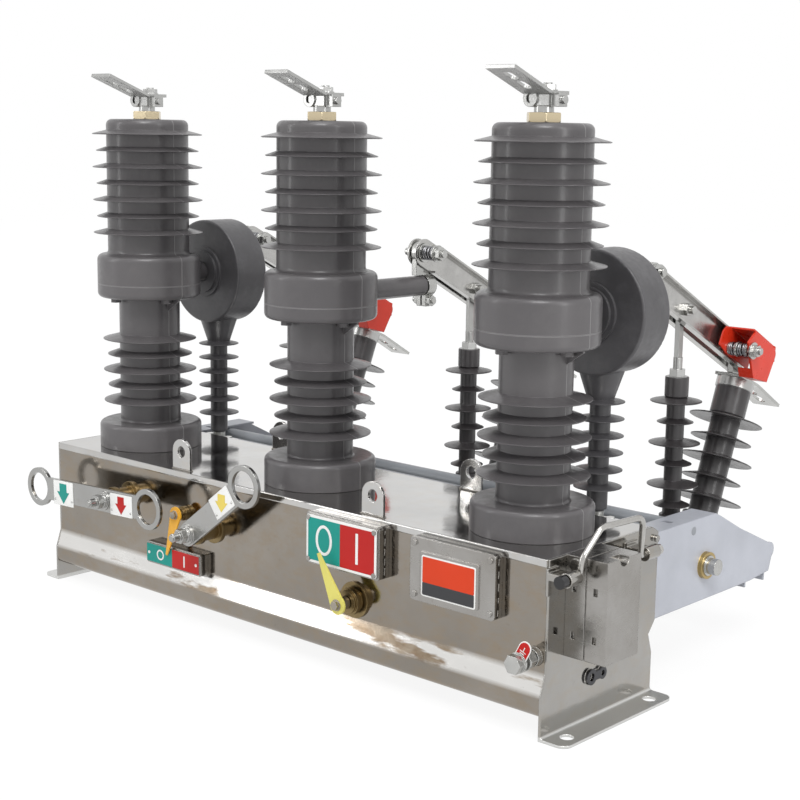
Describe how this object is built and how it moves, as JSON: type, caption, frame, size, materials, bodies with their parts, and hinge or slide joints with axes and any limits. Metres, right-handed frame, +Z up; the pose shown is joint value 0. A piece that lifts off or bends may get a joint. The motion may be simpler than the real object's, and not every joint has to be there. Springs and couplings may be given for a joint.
{
  "type": "outdoor vacuum circuit breaker",
  "caption": "Three-phase outdoor vacuum circuit breaker: resin poles on a steel tank with front levers, outgoing arms through ring transformers, and a knife isolator behind.",
  "frame": {"origin": "ground level, at the centre of the four foot bolt holes", "axes": "+X along the tank from the left end plate to the plug box end, +Y to the isolator at the rear, +Z up"},
  "size_m": [0.9555, 0.6926, 0.7129],
  "materials": {
    "tank": "polished stainless steel, slightly soiled",
    "galvanised": "galvanised, dull",
    "pole_resin": "warm grey cast resin, semi-gloss",
    "ct_resin": "dark cast resin, semi-gloss",
    "insulator": "charcoal resin, semi-gloss",
    "contact": "tinned and brass fittings",
    "bracket_paint": "light bluish grey",
    "rail_paint": "grey",
    "guard_red": "red, semi-gloss",
    "indicator": "teal and red fields on metal",
    "nameplate": "metal frame with a two-colour plate",
    "pointer_yellow": "yellow",
    "pointer_orange": "orange",
    "bush": "brass, dull"
  },
  "bodies": {
    "breaker": {"tank_body": "tank", "tank_lid": "tank", "end_plate_left": "tank", "end_plate_right": "tank", "plug_box": "tank", "pole_lower_a": "pole_resin", "pole_lower_b": "pole_resin", "pole_lower_c": "pole_resin", "pole_upper_a": "pole_resin", "pole_upper_b": "pole_resin", "pole_upper_c": "pole_resin", "line_terminals": "galvanised", "arm_contacts": "contact", "current_transformers": "ct_resin", "ct_rail": "rail_paint", "bracket_left": "bracket_paint", "bracket_right": "bracket_paint", "tie_tube": "rail_paint", "rear_beam": "bracket_paint", "rear_posts": "insulator", "rear_contacts": "contact", "main_indicator": "indicator", "energy_indicator": "indicator", "nameplate_box": "nameplate", "front_bosses": "bush", "earth_bolt": "galvanised"},
    "isolator_shaft": {"isolator_shaft": "galvanised"},
    "blade_a": {"blade_a": "galvanised", "blade_guard_a": "guard_red", "blade_bar_a": "guard_red"},
    "pull_a": {"pull_insulator_a": "insulator"},
    "blade_b": {"blade_b": "galvanised", "blade_guard_b": "guard_red", "blade_bar_b": "guard_red"},
    "pull_b": {"pull_insulator_b": "insulator"},
    "blade_c": {"blade_c": "galvanised", "blade_guard_c": "guard_red", "blade_bar_c": "guard_red"},
    "pull_c": {"pull_insulator_c": "insulator"},
    "open_close_lever": {"open_close_lever": "galvanised"},
    "charging_lever": {"charging_lever": "galvanised"},
    "main_pointer": {"main_pointer": "pointer_yellow"},
    "energy_pointer": {"energy_pointer": "pointer_orange"},
    "carry_handle": {"carry_handle": "galvanised"}
  },
  "joints": [
    {"name": "isolator_shaft_turn", "type": "hinge", "parent": "breaker", "child": "isolator_shaft", "pos_m": [0, 0.222, 0.13], "axis": [1, 0, 0], "range_deg": [0, 74.69]},
    {"name": "blade_hinge_a", "type": "hinge", "parent": "breaker", "child": "blade_a", "pos_m": [-0.34, 0.1815, 0.4835], "axis": [1, 0, 0], "range_deg": [-0.05, 50.1]},
    {"name": "pull_pin_a", "type": "hinge", "parent": "blade_a", "child": "pull_a", "pos_m": [-0.34, 0.28842, 0.42902], "axis": [1, 0, 0], "range_deg": [-50.1, 0.05]},
    {"name": "blade_hinge_b", "type": "hinge", "parent": "breaker", "child": "blade_b", "pos_m": [0, 0.1815, 0.4835], "axis": [1, 0, 0], "range_deg": [-0.05, 50.1]},
    {"name": "pull_pin_b", "type": "hinge", "parent": "blade_b", "child": "pull_b", "pos_m": [0, 0.28842, 0.42902], "axis": [1, 0, 0], "range_deg": [-50.1, 0.05]},
    {"name": "blade_hinge_c", "type": "hinge", "parent": "breaker", "child": "blade_c", "pos_m": [0.34, 0.1815, 0.4835], "axis": [1, 0, 0], "range_deg": [-0.05, 50.1]},
    {"name": "pull_pin_c", "type": "hinge", "parent": "blade_c", "child": "pull_c", "pos_m": [0.34, 0.28842, 0.42902], "axis": [1, 0, 0], "range_deg": [-50.1, 0.05]},
    {"name": "open_close_turn", "type": "hinge", "parent": "breaker", "child": "open_close_lever", "pos_m": [-0.271, -0.141, 0.1505], "axis": [0, 1, 0], "range_deg": [-25, 25]},
    {"name": "charging_turn", "type": "hinge", "parent": "breaker", "child": "charging_lever", "pos_m": [-0.1, -0.141, 0.1355], "axis": [0, 1, 0], "range_deg": [0, 60]},
    {"name": "main_pointer_turn", "type": "hinge", "parent": "breaker", "child": "main_pointer", "pos_m": [0.152, -0.128, 0.0955], "axis": [0, 1, 0], "range_deg": [0, 59]},
    {"name": "energy_pointer_turn", "type": "hinge", "parent": "breaker", "child": "energy_pointer", "pos_m": [-0.1558, -0.1155, 0.1465], "axis": [0, -1, 0], "range_deg": [0, 31]},
    {"name": "handle_swing", "type": "hinge", "parent": "breaker", "child": "carry_handle", "pos_m": [0.46, -0.021, 0.184], "axis": [0, 1, 0], "range_deg": [-35, 18]}
  ],
  "couplings": [
    {"joint": "blade_hinge_a", "follows": "isolator_shaft_turn", "ratio": 0.66942},
    {"joint": "pull_pin_a", "follows": "isolator_shaft_turn", "ratio": -0.66942},
    {"joint": "blade_hinge_b", "follows": "isolator_shaft_turn", "ratio": 0.66942},
    {"joint": "pull_pin_b", "follows": "isolator_shaft_turn", "ratio": -0.66942},
    {"joint": "blade_hinge_c", "follows": "isolator_shaft_turn", "ratio": 0.66942},
    {"joint": "pull_pin_c", "follows": "isolator_shaft_turn", "ratio": -0.66942}
  ]
}
